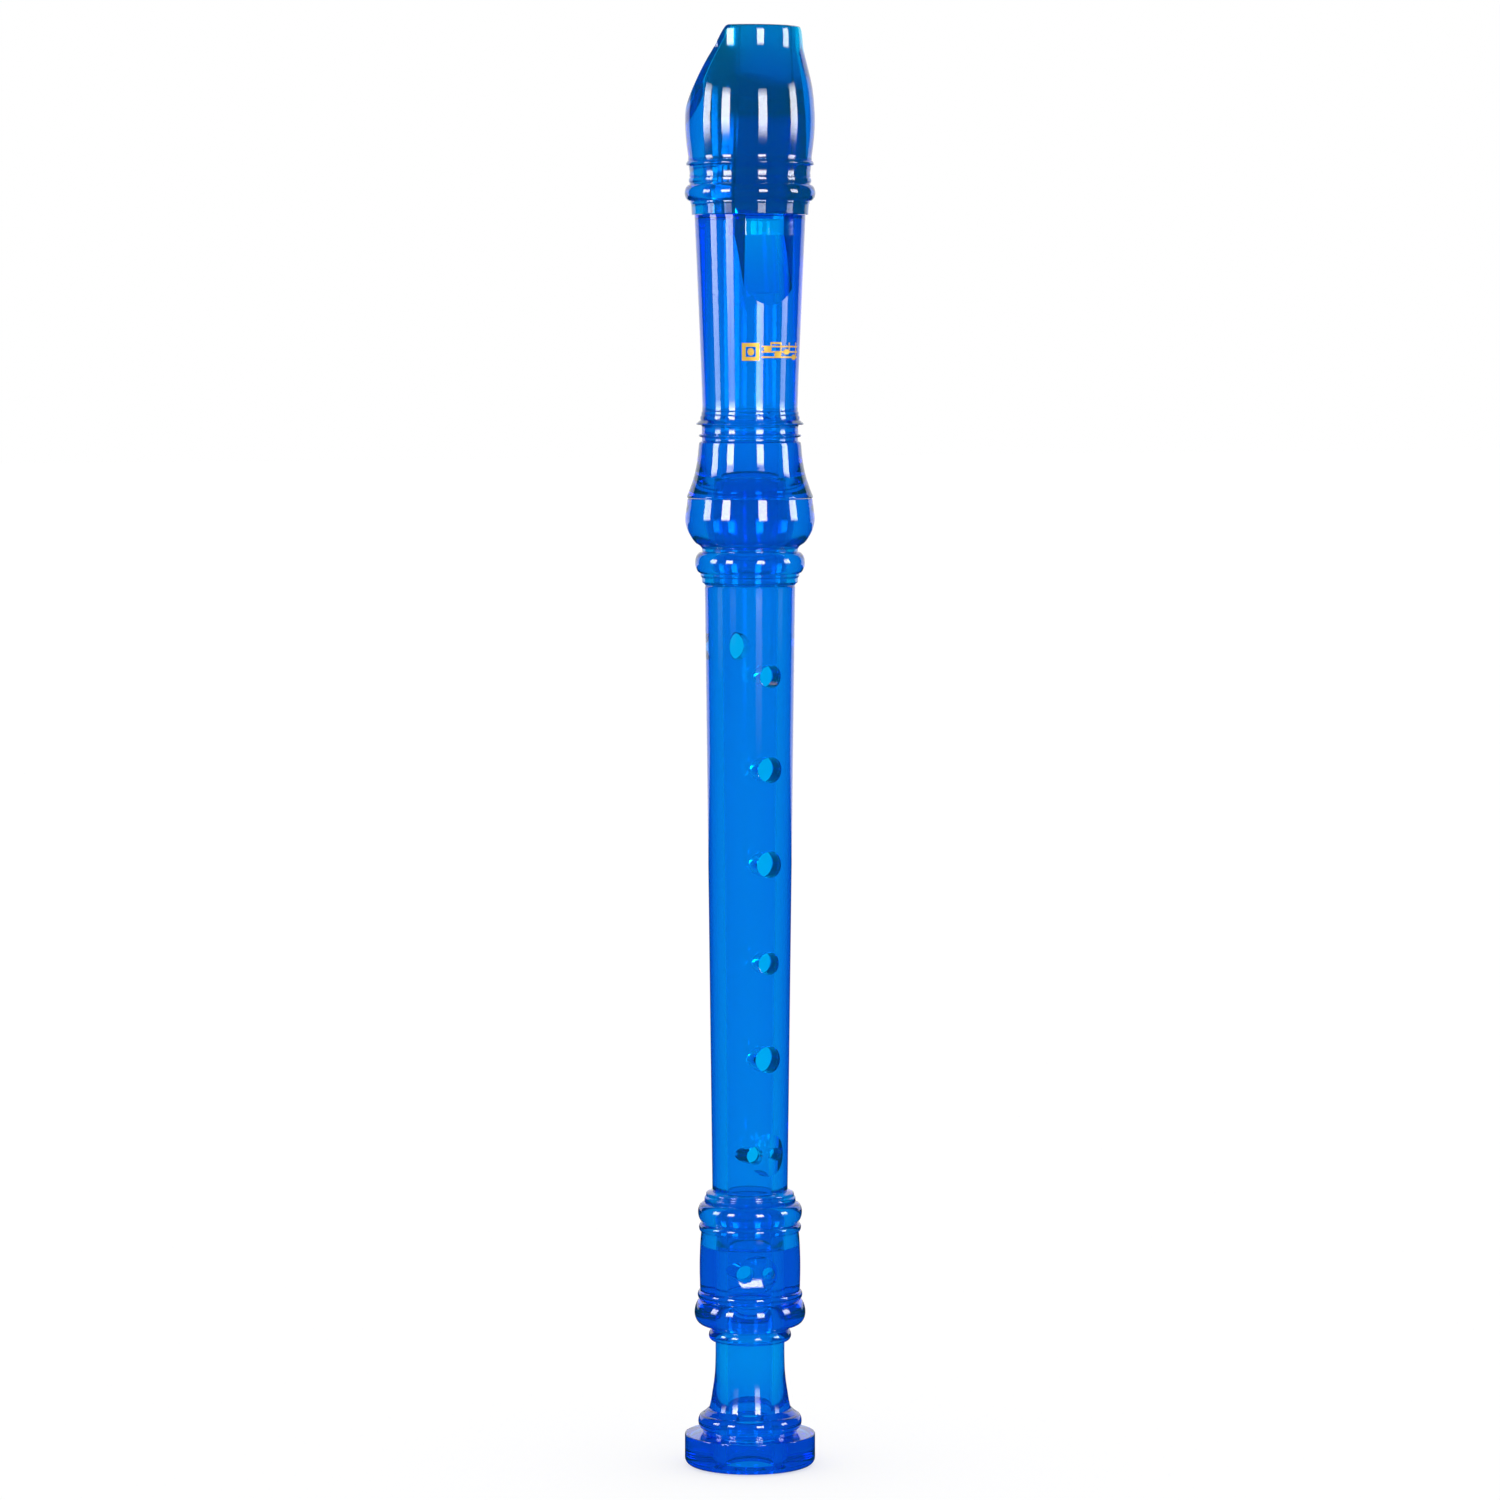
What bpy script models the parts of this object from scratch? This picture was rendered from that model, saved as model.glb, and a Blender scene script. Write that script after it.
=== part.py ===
"""Soprano recorder: head joint, body joint and foot joint of clear moulded plastic.

Frame: metres, +Z up, origin at the centre of the foot's base. The body joint's finger holes
face -Y. Heights below are millimetres above the base, and a depth is measured from the
bore's axis towards the front of the piece.
"""
import math

import bmesh
import bpy
from mathutils import Matrix

MM = 0.001
GAP = 0.3             # clearance between neighbouring pieces
SEGMENTS = 32         # facets round a turned piece
HOLE_SEGMENTS = 16    # facets round a tone hole

LENGTH = 330.0        # beak tip to base
HEAD_TURN = -5.2      # degrees the head joint is turned from the body's finger holes
FOOT_TURN = -19.5     # degrees the foot joint is turned from the body's finger holes

WINDOW_TOP = 287.5
LABIUM = 282.9        # height of the blowing edge
LABIUM_DEPTH = 5.8
RAMP_FOOT = 266.8     # height where the ramp runs out on the head's surface
RAMP_FOOT_DEPTH = 11.8
WINDOW_HALF = 5.9     # half the window's width
LIP = 223.2           # lower edge of the head tube's skirt
HEAD_FOOT = 203.2     # lower edge of the head joint
TENON_TOP = 227.2
FOOT_TOP = 63.6
LOWER_TENON_END = 50.6

HEAD_BORE = 6.75
TENON_RADIUS = 8.4
LOWER_TENON_RADIUS = 7.9
BODY_BORE_TOP = 6.6
BODY_BORE_END = 5.0
FOOT_BORE = 5.2
SPIGOT_OUTER = 10.8
SPIGOT_INNER = 9.2
SPIGOT_TOP = 299.3
CAP_BORE = 10.6       # hollow of the mouthpiece above the spigot
SLEEVE_RADIUS = 10.1

BORE_END = 286.5      # height of the wall that ends the bore above the window
BORE_WALL = 1.4
BORE_END_DEPTH = 5.35  # its front edge, level with the windway's floor
ROOF_DEPTH = 6.8      # windway roof above the axis, at the window
WINDWAY_RISE = math.radians(3.6)
WINDWAY_HEIGHT = 1.35
WINDWAY_HALF = 5.75
ROOF_ARCH = 22.0      # radius of the windway's arch

# One row for each tone hole: name, height, diameter, facing (1 front, -1 back)
TONE_HOLES = (
    ("thumb_hole", 189.0, 6.1, -1),
    ("hole_1", 182.7, 5.1, 1),
    ("hole_2", 161.4, 5.8, 1),
    ("hole_3", 139.7, 5.95, 1),
    ("hole_4", 117.0, 4.95, 1),
    ("hole_5", 94.9, 6.0, 1),
)
HOLE_6 = 72.8         # height of the sixth hole's dish
HOLE_7 = 45.8
DISH_RADIUS = 5.1
BODY_DISH_FLOOR = 6.95
FOOT_DISH_FLOOR = 10.2
PAIR_OFFSET = 2.7     # of each small hole from the dish's middle
LARGE_HOLE = 3.9
SMALL_HOLE = 2.7


def clear_scene():
    for obj in list(bpy.data.objects):
        bpy.data.objects.remove(obj, do_unlink=True)


def make_collection(name):
    collection = bpy.data.collections.new(name)
    bpy.context.scene.collection.children.link(collection)
    return collection


def plastic(name, colour, roughness):
    material = bpy.data.materials.new(name)
    material.use_nodes = True
    shader = material.node_tree.nodes["Principled BSDF"]
    shader.inputs["Base Color"].default_value = (*colour, 1.0)
    shader.inputs["Roughness"].default_value = roughness
    shader.inputs["Metallic"].default_value = 0.0
    shader.inputs["Transmission Weight"].default_value = 0.7
    return material


# ---------------------------------------------------------------- outlines

def smooth(points, steps):
    """Catmull-Rom curve through (radius, height) points, with steps spans between each pair."""
    ends = [points[0], *points, points[-1]]
    curve = []
    for p0, p1, p2, p3 in zip(ends, ends[1:], ends[2:], ends[3:]):
        for step in range(steps):
            t = step / steps
            curve.append(tuple(
                0.5 * (2 * b + (c - a) * t + (2 * a - 5 * b + 4 * c - d) * t * t
                       + (3 * b - a - 3 * c + d) * t ** 3)
                for a, b, c, d in zip(p0, p1, p2, p3)))
    return curve + [points[-1]]


def bead(top, bottom, base, crest, steps=4, base_end=None):
    """Half-round ring from height top down to bottom, standing out from base to crest."""
    base_end = base if base_end is None else base_end
    middle, half = (top + bottom) / 2, (top - bottom) / 2
    ring = []
    for step in range(steps + 1):
        angle = math.pi * step / steps
        root = base + (base_end - base) * step / steps
        ring.append((root + (crest - root) * math.sin(angle), middle + half * math.cos(angle)))
    return ring


def arc(centre, radius, start, end, steps):
    """Arc about centre, from start to end degrees counted from the +radius direction."""
    return [(centre[0] + radius * math.cos(math.radians(start + (end - start) * s / steps)),
             centre[1] + radius * math.sin(math.radians(start + (end - start) * s / steps)))
            for s in range(steps + 1)]


# ---------------------------------------------------------------- solids

def link(obj, collection, material=None, parent=None):
    collection.objects.link(obj)
    if material is not None:
        obj.data.materials.append(material)
    obj.parent = parent
    if collection.name == "cutters":
        obj.hide_render = True
        obj.display_type = 'WIRE'
    return obj


def turned(name, profile, collection, material=None, parent=None, on_axis=False):
    """Solid of revolution from a (radius, height) outline that runs down its outer side.

    The outline closes on itself, or with on_axis runs from the axis to the axis.
    """
    mesh = bpy.data.meshes.new(name)
    points = [(radius * MM, 0.0, height * MM) for radius, height in profile]
    count = len(points)
    edges = [(i, (i + 1) % count) for i in range(count - (1 if on_axis else 0))]
    mesh.from_pydata(points, edges, [])
    obj = link(bpy.data.objects.new(name, mesh), collection, material, parent)
    screw = obj.modifiers.new("turn", 'SCREW')
    screw.axis = 'Z'
    screw.steps = SEGMENTS
    screw.render_steps = SEGMENTS
    screw.use_smooth_shade = True
    screw.use_merge_vertices = on_axis
    screw.merge_threshold = 0.00001
    return obj


def prism(name, outline, half_length, collection, matrix, parent=None):
    """Flat outline filled and extruded both ways along its normal, then placed by matrix."""
    curve = bpy.data.curves.new(name, 'CURVE')
    curve.dimensions = '2D'
    curve.fill_mode = 'BOTH'
    curve.extrude = half_length * MM
    spline = curve.splines.new('POLY')
    spline.points.add(len(outline) - 1)
    for point, (x, y) in zip(spline.points, outline):
        point.co = (x * MM, y * MM, 0.0, 1.0)
    spline.use_cyclic_u = True
    guide = bpy.data.objects.new(name + "_outline", curve)
    bpy.context.scene.collection.objects.link(guide)
    evaluated = guide.evaluated_get(bpy.context.evaluated_depsgraph_get())
    mesh = bpy.data.meshes.new_from_object(evaluated)
    mesh.name = name
    bpy.data.objects.remove(guide, do_unlink=True)
    shape = bmesh.new()
    shape.from_mesh(mesh)
    bmesh.ops.remove_doubles(shape, verts=shape.verts, dist=0.000001)
    bmesh.ops.recalc_face_normals(shape, faces=shape.faces)
    shape.to_mesh(mesh)
    shape.free()
    obj = link(bpy.data.objects.new(name, mesh), collection, parent=parent)
    obj.matrix_local = matrix
    return obj


def drill(name, radius, start, end, collection, parent=None, segments=HOLE_SEGMENTS):
    """Cylinder between two (x, y, z) points."""
    mesh = bpy.data.meshes.new(name)
    shape = bmesh.new()
    dx, dy, dz = (b - a for a, b in zip(start, end))
    length = math.sqrt(dx * dx + dy * dy + dz * dz)
    bmesh.ops.create_cone(shape, cap_ends=True, segments=segments, radius1=radius * MM,
                          radius2=radius * MM, depth=length * MM)
    shape.to_mesh(mesh)
    shape.free()
    obj = link(bpy.data.objects.new(name, mesh), collection, parent=parent)
    obj.location = [(a + b) / 2 * MM for a, b in zip(start, end)]
    if abs(dy) > abs(dz):
        obj.rotation_euler = (math.pi / 2, 0.0, 0.0)
    return obj


def block_shape(name, low, high, collection, parent=None):
    """Box between two corners."""
    mesh = bpy.data.meshes.new(name)
    shape = bmesh.new()
    size = [(b - a) * MM for a, b in zip(low, high)]
    bmesh.ops.create_cube(shape, size=1.0, matrix=Matrix.Diagonal((*size, 1.0)))
    shape.to_mesh(mesh)
    shape.free()
    obj = link(bpy.data.objects.new(name, mesh), collection, parent=parent)
    obj.location = [(a + b) / 2 * MM for a, b in zip(low, high)]
    return obj


def combine(obj, other, operation='DIFFERENCE'):
    modifier = obj.modifiers.new(operation.lower() + "_" + other.name, 'BOOLEAN')
    modifier.operation = operation
    modifier.solver = 'EXACT'
    modifier.object = other


# A side outline gives (depth, height), and its prism runs across the recorder.
SIDE_VIEW = Matrix(((0, 0, -1, 0), (-1, 0, 0, 0), (0, 1, 0, 0), (0, 0, 0, 1)))


def along_windway(name, half_width, crown, top_depth, bottom, cutters, head):
    """Arched prism on the windway's slope, from height bottom up past the beak's tip.

    Its arched face lies at top_depth by the window, and it reaches crown in front of that.
    """
    half_length = (LENGTH + 4 - bottom) / 2
    tilt = Matrix.Rotation(WINDWAY_RISE, 4, 'X')
    place = (Matrix.Translation((0.0, -top_depth * MM, WINDOW_TOP * MM)) @ tilt
             @ Matrix.Translation((0.0, 0.0, (bottom - WINDOW_TOP + half_length) * MM)))
    return prism(name, arched_plan(half_width, -crown), half_length, cutters, place, head)


def arched_plan(half_width, crown):
    """Plan outline from the arched line y = 0 to crown, in front of it or behind."""
    steps = 8
    line = []
    for step in range(steps + 1):
        x = half_width * (1 - 2 * step / steps)
        line.append((x, ROOF_ARCH - math.sqrt(ROOF_ARCH ** 2 - x * x)))
    return line + [(-half_width, crown), (half_width, crown)]


# ---------------------------------------------------------------- outer shapes

def mouthpiece_outer():
    beak = smooth([(11.5, LENGTH), (12.16, 325.3), (13.45, 319.8), (14.45, 314.4), (14.79, 309.2),
                   (14.46, 303.6), (13.98, 299.8)], 2)
    return (beak
            + bead(299.7, 298.7, 13.97, 14.54)
            + [(13.75, 295.3), (13.92, 295.2), (13.92, 294.5)]
            + bead(294.4, 290.7, 13.7, 14.92, steps=5)
            + [(13.64, 290.2), (13.42, 289.9), (13.26, WINDOW_TOP)])


def head_tube_outer():
    return ([(12.66, WINDOW_TOP - GAP), (12.05, 273.9), (11.12, 251.2), (10.88, 243.9)]
            + bead(243.6, 242.6, 10.88, 11.12, steps=3)
            + bead(242.5, 241.6, 10.95, 11.36, steps=3)
            + [(11.45, 241.4), (12.3, 240.1), (12.2, 239.9), (11.05, 239.7), (11.02, 237.9)]
            + [(11.72, 237.45), (11.72, 237.2), (11.0, 236.8), (11.0, 236.2), (11.6, 235.9)]
            + smooth([(11.72, 235.2), (12.03, 232.0), (12.68, 228.6), (13.53, 225.9),
                      (14.5, 223.6), (14.45, LIP)], 2))


def ring_outer():
    return ([(14.2, LIP - GAP)]
            + smooth([(14.3, 222.2), (14.62, 220.4), (14.83, 218.5), (14.5, 216.3),
                      (13.46, 214.2), (11.43, 212.2), (10.98, 211.6)], 2)
            + [(10.98, 211.0)]
            + bead(210.9, 206.2, 10.98, 12.58, steps=5, base_end=11.35)
            + [(11.35, 205.2), (11.0, 204.9), (10.95, 204.0), (10.7, 203.7), (10.4, HEAD_FOOT)])


def foot_outer():
    return ([(8.75, FOOT_TOP), (9.2, 63.5)]
            + bead(63.3, 62.4, 9.8, 10.1, steps=3)
            + [(10.48, 62.2), (10.5, 61.1)]
            + bead(60.9, 56.6, 10.5, 11.98, steps=5, base_end=11.0)
            + bead(56.2, 54.3, 11.05, 11.76, steps=3, base_end=11.25)
            + smooth([(11.24, 54.1), (11.51, 50.9), (11.62, 46.2), (11.5, 40.7)], 2)
            + bead(40.5, 38.6, 11.5, 12.07, steps=3)
            + bead(38.5, 32.3, 11.5, 12.8, steps=6, base_end=9.9)
            + [(8.85, 31.7)]
            + bead(31.6, 28.7, 8.85, 9.5, steps=4, base_end=8.0)
            + smooth([(7.95, 28.3), (7.95, 24.5), (8.25, 20.0), (8.64, 17.1), (9.45, 13.0)], 2)
            + [(9.85, 12.7), (10.6, 12.0)]
            + bead(11.9, 8.3, 10.75, 11.95, steps=4, base_end=10.8)
            + [(10.8, 7.4), (14.9, 7.3), (15.05, 7.1)]
            + arc((13.45, 1.6), 1.6, 0, -90, 3))


# ---------------------------------------------------------------- pieces

def beak_outline():
    """Side outline of what the beak's underside leaves away: straight, then a thumb-wide arc."""
    slope = 26.6
    radius = 17.9
    bend = (1.85, 318.5)
    centre = (bend[0] - radius * math.cos(math.radians(slope)),
              bend[1] + radius * math.sin(math.radians(slope)))
    tip_height = LENGTH + 3.0
    tip_depth = bend[0] + (tip_height - bend[1]) * math.tan(math.radians(slope))
    hollow = arc(centre, radius, -slope, -90, 7)
    return [(tip_depth, tip_height)] + hollow + [(-20.0, hollow[-1][1]), (-20.0, tip_height)]


def make_head_cutters(cutters, head):
    roof = along_windway("above_roof", 13.0, 16.0, ROOF_DEPTH, WINDOW_TOP - 3, cutters, head)
    lands = along_windway("above_lands", 13.0, 16.0, ROOF_DEPTH - GAP, WINDOW_TOP - 3, cutters,
                          head)
    notch = along_windway("spigot_notch", 13.0, 16.0, ROOF_DEPTH - GAP, WINDOW_TOP - GAP, cutters,
                          head)
    channel = along_windway("windway", WINDWAY_HALF, 3.0, ROOF_DEPTH - WINDWAY_HEIGHT,
                            WINDOW_TOP - 3, cutters, head)
    hollow = turned("cap_hollow", [
        (0.0, LENGTH + 2), (CAP_BORE, LENGTH + 2), (CAP_BORE, SPIGOT_TOP + GAP),
        (SPIGOT_OUTER + GAP, SPIGOT_TOP + GAP), (SPIGOT_OUTER + GAP, WINDOW_TOP - 2),
        (0.0, WINDOW_TOP - 2)], cutters, parent=head, on_axis=True)
    combine(hollow, roof)
    beak = prism("beak_cut", beak_outline(), 18.0, cutters, SIDE_VIEW, head)
    chamfer = prism("exit_chamfer", [(ROOF_DEPTH - 1, WINDOW_TOP - 0.5),
                                     (ROOF_DEPTH + 1.2, WINDOW_TOP - 0.5),
                                     (ROOF_DEPTH - 1, WINDOW_TOP + 1.7)],
                    WINDWAY_HALF, cutters, SIDE_VIEW, head)
    return lands, notch, channel, hollow, beak, chamfer


def make_mouthpiece(parts, blue, head, hollow, beak, chamfer):
    """Cap with the beak, the rings and the windway's roof."""
    profile = [(0.0, LENGTH), *mouthpiece_outer(), (0.0, WINDOW_TOP)]
    cap = turned("mouthpiece", profile, parts, blue, head, on_axis=True)
    for cutter in (beak, hollow, chamfer):
        combine(cap, cutter)
    return cap


def make_block(parts, material, head, lands, channel, beak):
    """Block whose front face is the windway's floor."""
    seat = BORE_END + BORE_WALL + GAP
    lower, upper = SPIGOT_INNER - GAP, CAP_BORE - GAP
    block = turned("windway_block", [
        (0.0, LENGTH), (upper, LENGTH), (upper, SPIGOT_TOP + GAP), (lower, SPIGOT_TOP + GAP),
        (lower, seat), (0.0, seat)], parts, material, head, on_axis=True)
    for cutter in (lands, channel, beak):
        combine(block, cutter)
    return block


def make_head_tube(parts, cutters, blue, head, notch):
    """Tube with the window, the blowing edge and its ramp, and the skirt over the socket ring."""
    socket = TENON_RADIUS + GAP
    inside = [
        (SLEEVE_RADIUS, LIP), (SLEEVE_RADIUS, 213.0), (socket, 213.0), (socket, TENON_TOP + GAP),
        (HEAD_BORE, TENON_TOP + GAP), (HEAD_BORE, BORE_END), (0.0, BORE_END),
        (0.0, BORE_END + BORE_WALL), (SPIGOT_INNER, BORE_END + BORE_WALL),
        (SPIGOT_INNER, SPIGOT_TOP),
        (SPIGOT_OUTER, SPIGOT_TOP), (SPIGOT_OUTER, WINDOW_TOP - GAP)]
    tube = turned("head_tube", rolled(head_tube_outer() + inside), parts, blue, head, on_axis=True)
    platform = block_shape("blowing_edge", (-6.4, -7.6, 269.0), (6.4, -5.4, LABIUM + 0.4),
                           cutters, head)
    slope = (RAMP_FOOT_DEPTH - LABIUM_DEPTH) / (LABIUM - RAMP_FOOT)
    window = prism("window", [
        (0.0, BORE_END), (BORE_END_DEPTH, BORE_END), (BORE_END_DEPTH, WINDOW_TOP + 1),
        (16.0, WINDOW_TOP + 1),
        (16.0, LABIUM - (16.0 - LABIUM_DEPTH) / slope), (LABIUM_DEPTH, LABIUM), (0.0, LABIUM)],
        WINDOW_HALF, cutters, SIDE_VIEW, head)
    combine(tube, platform, 'UNION')
    combine(tube, notch)
    combine(tube, window)
    return tube


def rolled(outline):
    """The outline started again at its second point on the axis, so that it runs axis to axis."""
    axis = [i for i, point in enumerate(outline) if point[0] == 0.0]
    return outline[axis[-1]:] + outline[:axis[-1]]


def make_socket_ring(parts, blue, head):
    """Bulb pushed over the head tube's sleeve, with the mouth of the socket below."""
    socket = TENON_RADIUS + GAP
    bore = SLEEVE_RADIUS + GAP
    inside = [(socket, HEAD_FOOT), (socket, 212.4), (bore, 212.7), (bore, LIP - GAP)]
    return turned("socket_ring", ring_outer() + inside, parts, blue, head)


def make_body_joint(parts, cutters, blue):
    """Tapered tube with a tenon at each end, the thumb hole and six finger holes."""
    outline = [
        (TENON_RADIUS - 0.3, TENON_TOP), (TENON_RADIUS, TENON_TOP - 0.5),
        (TENON_RADIUS, HEAD_FOOT - 0.7), (10.35, HEAD_FOOT - GAP), (10.35, 202.4), (9.86, 165.4),
        (8.78, 73.0), (8.67, FOOT_TOP + GAP), (LOWER_TENON_RADIUS, FOOT_TOP + GAP),
        (LOWER_TENON_RADIUS, LOWER_TENON_END + 0.5), (LOWER_TENON_RADIUS - 0.4, LOWER_TENON_END),
        (BODY_BORE_END, LOWER_TENON_END), (BODY_BORE_TOP, TENON_TOP)]
    body = turned("body_joint", outline, parts, blue)
    dish = make_dish("hole_6_dish", HOLE_6, BODY_DISH_FLOOR, cutters, None)
    combine(body, dish)
    for name, height, diameter, facing in TONE_HOLES:
        combine(body, drill(name, diameter / 2, (0.0, 0.0, height), (0.0, -14.0 * facing, height),
                            cutters))
    for hole in drill_pair("hole_6", HOLE_6, cutters, None):
        combine(body, hole)
    return body


def make_dish(name, height, floor, cutters, parent):
    """Round hollow for a fingertip, as deep as a cylinder of radius floor about the axis."""
    dish = drill(name, DISH_RADIUS, (0.0, -3.0, height), (0.0, -14.0, height), cutters, parent, 24)
    core = drill(name + "_core", floor, (0.0, 0.0, height - 8), (0.0, 0.0, height + 8), cutters,
                 parent, SEGMENTS)
    combine(dish, core)
    return dish


def drill_pair(name, height, cutters, parent):
    return [drill(name + side, diameter / 2, (offset, 0.0, height), (offset, -14.0, height),
                  cutters, parent, 12)
            for side, diameter, offset in (("_large", LARGE_HOLE, -PAIR_OFFSET),
                                           ("_small", SMALL_HOLE, PAIR_OFFSET))]


def make_foot_joint(parts, cutters, blue, foot):
    """Foot with its socket, the double hole for the little finger and the bell."""
    inside = [(6.4, 0.0), (5.6, 0.8), (FOOT_BORE, 12.0), (FOOT_BORE, LOWER_TENON_END - GAP),
              (LOWER_TENON_RADIUS + GAP, LOWER_TENON_END - GAP),
              (LOWER_TENON_RADIUS + GAP, FOOT_TOP)]
    foot_joint = turned("foot_joint", foot_outer() + inside, parts, blue, foot)
    combine(foot_joint, make_dish("hole_7_dish", HOLE_7, FOOT_DISH_FLOOR, cutters, foot))
    for hole in drill_pair("hole_7", HOLE_7, cutters, foot):
        combine(foot_joint, hole)
    return foot_joint


def turned_empty(name, degrees, collection):
    """Empty on the bore's axis that the pieces of one joint hang from."""
    empty = bpy.data.objects.new(name, None)
    collection.objects.link(empty)
    empty.rotation_euler = (0.0, 0.0, math.radians(degrees))
    return empty


def main():
    clear_scene()
    parts = make_collection("soprano_recorder")
    cutters = make_collection("cutters")
    blue = plastic("clear_blue", (0.0, 0.19, 0.85), 0.08)
    block_blue = plastic("block_blue", (0.0, 0.10, 0.55), 0.2)
    head = turned_empty("head_axis", HEAD_TURN, parts)
    foot = turned_empty("foot_axis", FOOT_TURN, parts)
    lands, notch, channel, hollow, beak, chamfer = make_head_cutters(cutters, head)
    make_mouthpiece(parts, blue, head, hollow, beak, chamfer)
    make_block(parts, block_blue, head, lands, channel, beak)
    make_head_tube(parts, cutters, blue, head, notch)
    make_socket_ring(parts, blue, head)
    make_body_joint(parts, cutters, blue)
    make_foot_joint(parts, cutters, blue, foot)
    bpy.context.view_layer.update()


main()
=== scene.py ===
"""Looks of a soprano recorder in clear blue moulded plastic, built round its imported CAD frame.

Every piece is turned on the bore's axis from an outline of (radius, height) points and then cut
with closed tools, as the mould would shape it. Sizes are millimetres above the foot's base, and
angles are degrees, until a mesh is made. The body joint's finger holes face -Y.
"""

import logging
import math
from collections.abc import Callable, Mapping, Sequence
from dataclasses import dataclass
from enum import Enum

import bmesh
import bpy
from mathutils import Matrix, Vector


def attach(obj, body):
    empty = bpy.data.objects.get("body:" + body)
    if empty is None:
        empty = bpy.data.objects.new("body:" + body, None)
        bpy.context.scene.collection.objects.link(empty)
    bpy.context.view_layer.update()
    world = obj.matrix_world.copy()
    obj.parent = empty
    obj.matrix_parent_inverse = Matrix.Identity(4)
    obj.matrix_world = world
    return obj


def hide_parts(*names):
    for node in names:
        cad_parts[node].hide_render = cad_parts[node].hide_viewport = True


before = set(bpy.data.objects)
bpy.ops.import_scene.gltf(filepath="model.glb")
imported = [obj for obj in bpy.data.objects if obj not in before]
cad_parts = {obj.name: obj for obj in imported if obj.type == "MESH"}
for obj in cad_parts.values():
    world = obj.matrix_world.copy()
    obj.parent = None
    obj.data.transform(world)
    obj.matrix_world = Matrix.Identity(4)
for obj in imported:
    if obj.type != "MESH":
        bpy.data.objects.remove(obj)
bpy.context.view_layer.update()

LOG = logging.getLogger("recorder")
MM = 0.001
FACETS = 144          # round a turned piece
HOLE_FACETS = 48      # round a finger hole
CREASE = math.radians(19)    # edges sharper than this aren't smoothed
CORNER = math.radians(32)    # corners sharper than this are eased
MANY_SIDED = 8        # a face with more corners than this is a cap or a cut, and stays crisp
WELD = 2e-7           # metres, between points that a cut leaves as good as together
SEAM = 0.06           # what shows of the joint between two glued mouldings
PAST_FRONT = 16.0     # reach of a tool that cuts out through the front
PAST_SIDES = 13.0     # half-width of a tool that is wider than what it cuts
PAST_BEAK = 334.0     # height clear of the beak's tip
HEAD_TURN = -5.2      # of the head joint from the line of the finger holes
FOOT_TURN = -19.5
CAMERA_AZIMUTH = -28.5

Point = tuple[float, float]
Triple = tuple[float, float, float]
Surface = Callable[[float, float], float]


class Body(Enum):
    """CAD bodies that pieces ride on."""

    HEAD = "head"
    MIDDLE = "body"
    FOOT = "foot"


class Slot(Enum):
    """Material slots of the record."""

    CLEAR = "clear_blue"
    BLOCK = "block_blue"


# ------------------------------------------------------------------ shader wiring

class Port:
    """A shader socket that arithmetic signs work on; each sign adds one Math node."""

    def __init__(self, wiring: "Wiring", socket: bpy.types.NodeSocket) -> None:
        """Keeps the socket and the wiring that owns it."""
        self.wiring = wiring
        self.socket = socket

    def __add__(self, other: "Port | float") -> "Port":
        """This plus other."""
        return self.wiring.maths('ADD', self, other)

    def __radd__(self, other: float) -> "Port":
        """A number plus this."""
        return self.wiring.maths('ADD', other, self)

    def __sub__(self, other: "Port | float") -> "Port":
        """This less other."""
        return self.wiring.maths('SUBTRACT', self, other)

    def __rsub__(self, other: float) -> "Port":
        """A number less this."""
        return self.wiring.maths('SUBTRACT', other, self)

    def __mul__(self, other: "Port | float") -> "Port":
        """This times other."""
        return self.wiring.maths('MULTIPLY', self, other)

    def __rmul__(self, other: float) -> "Port":
        """A number times this."""
        return self.wiring.maths('MULTIPLY', other, self)

    def __pow__(self, other: float) -> "Port":
        """This to a power."""
        return self.wiring.maths('POWER', self, other)


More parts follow.
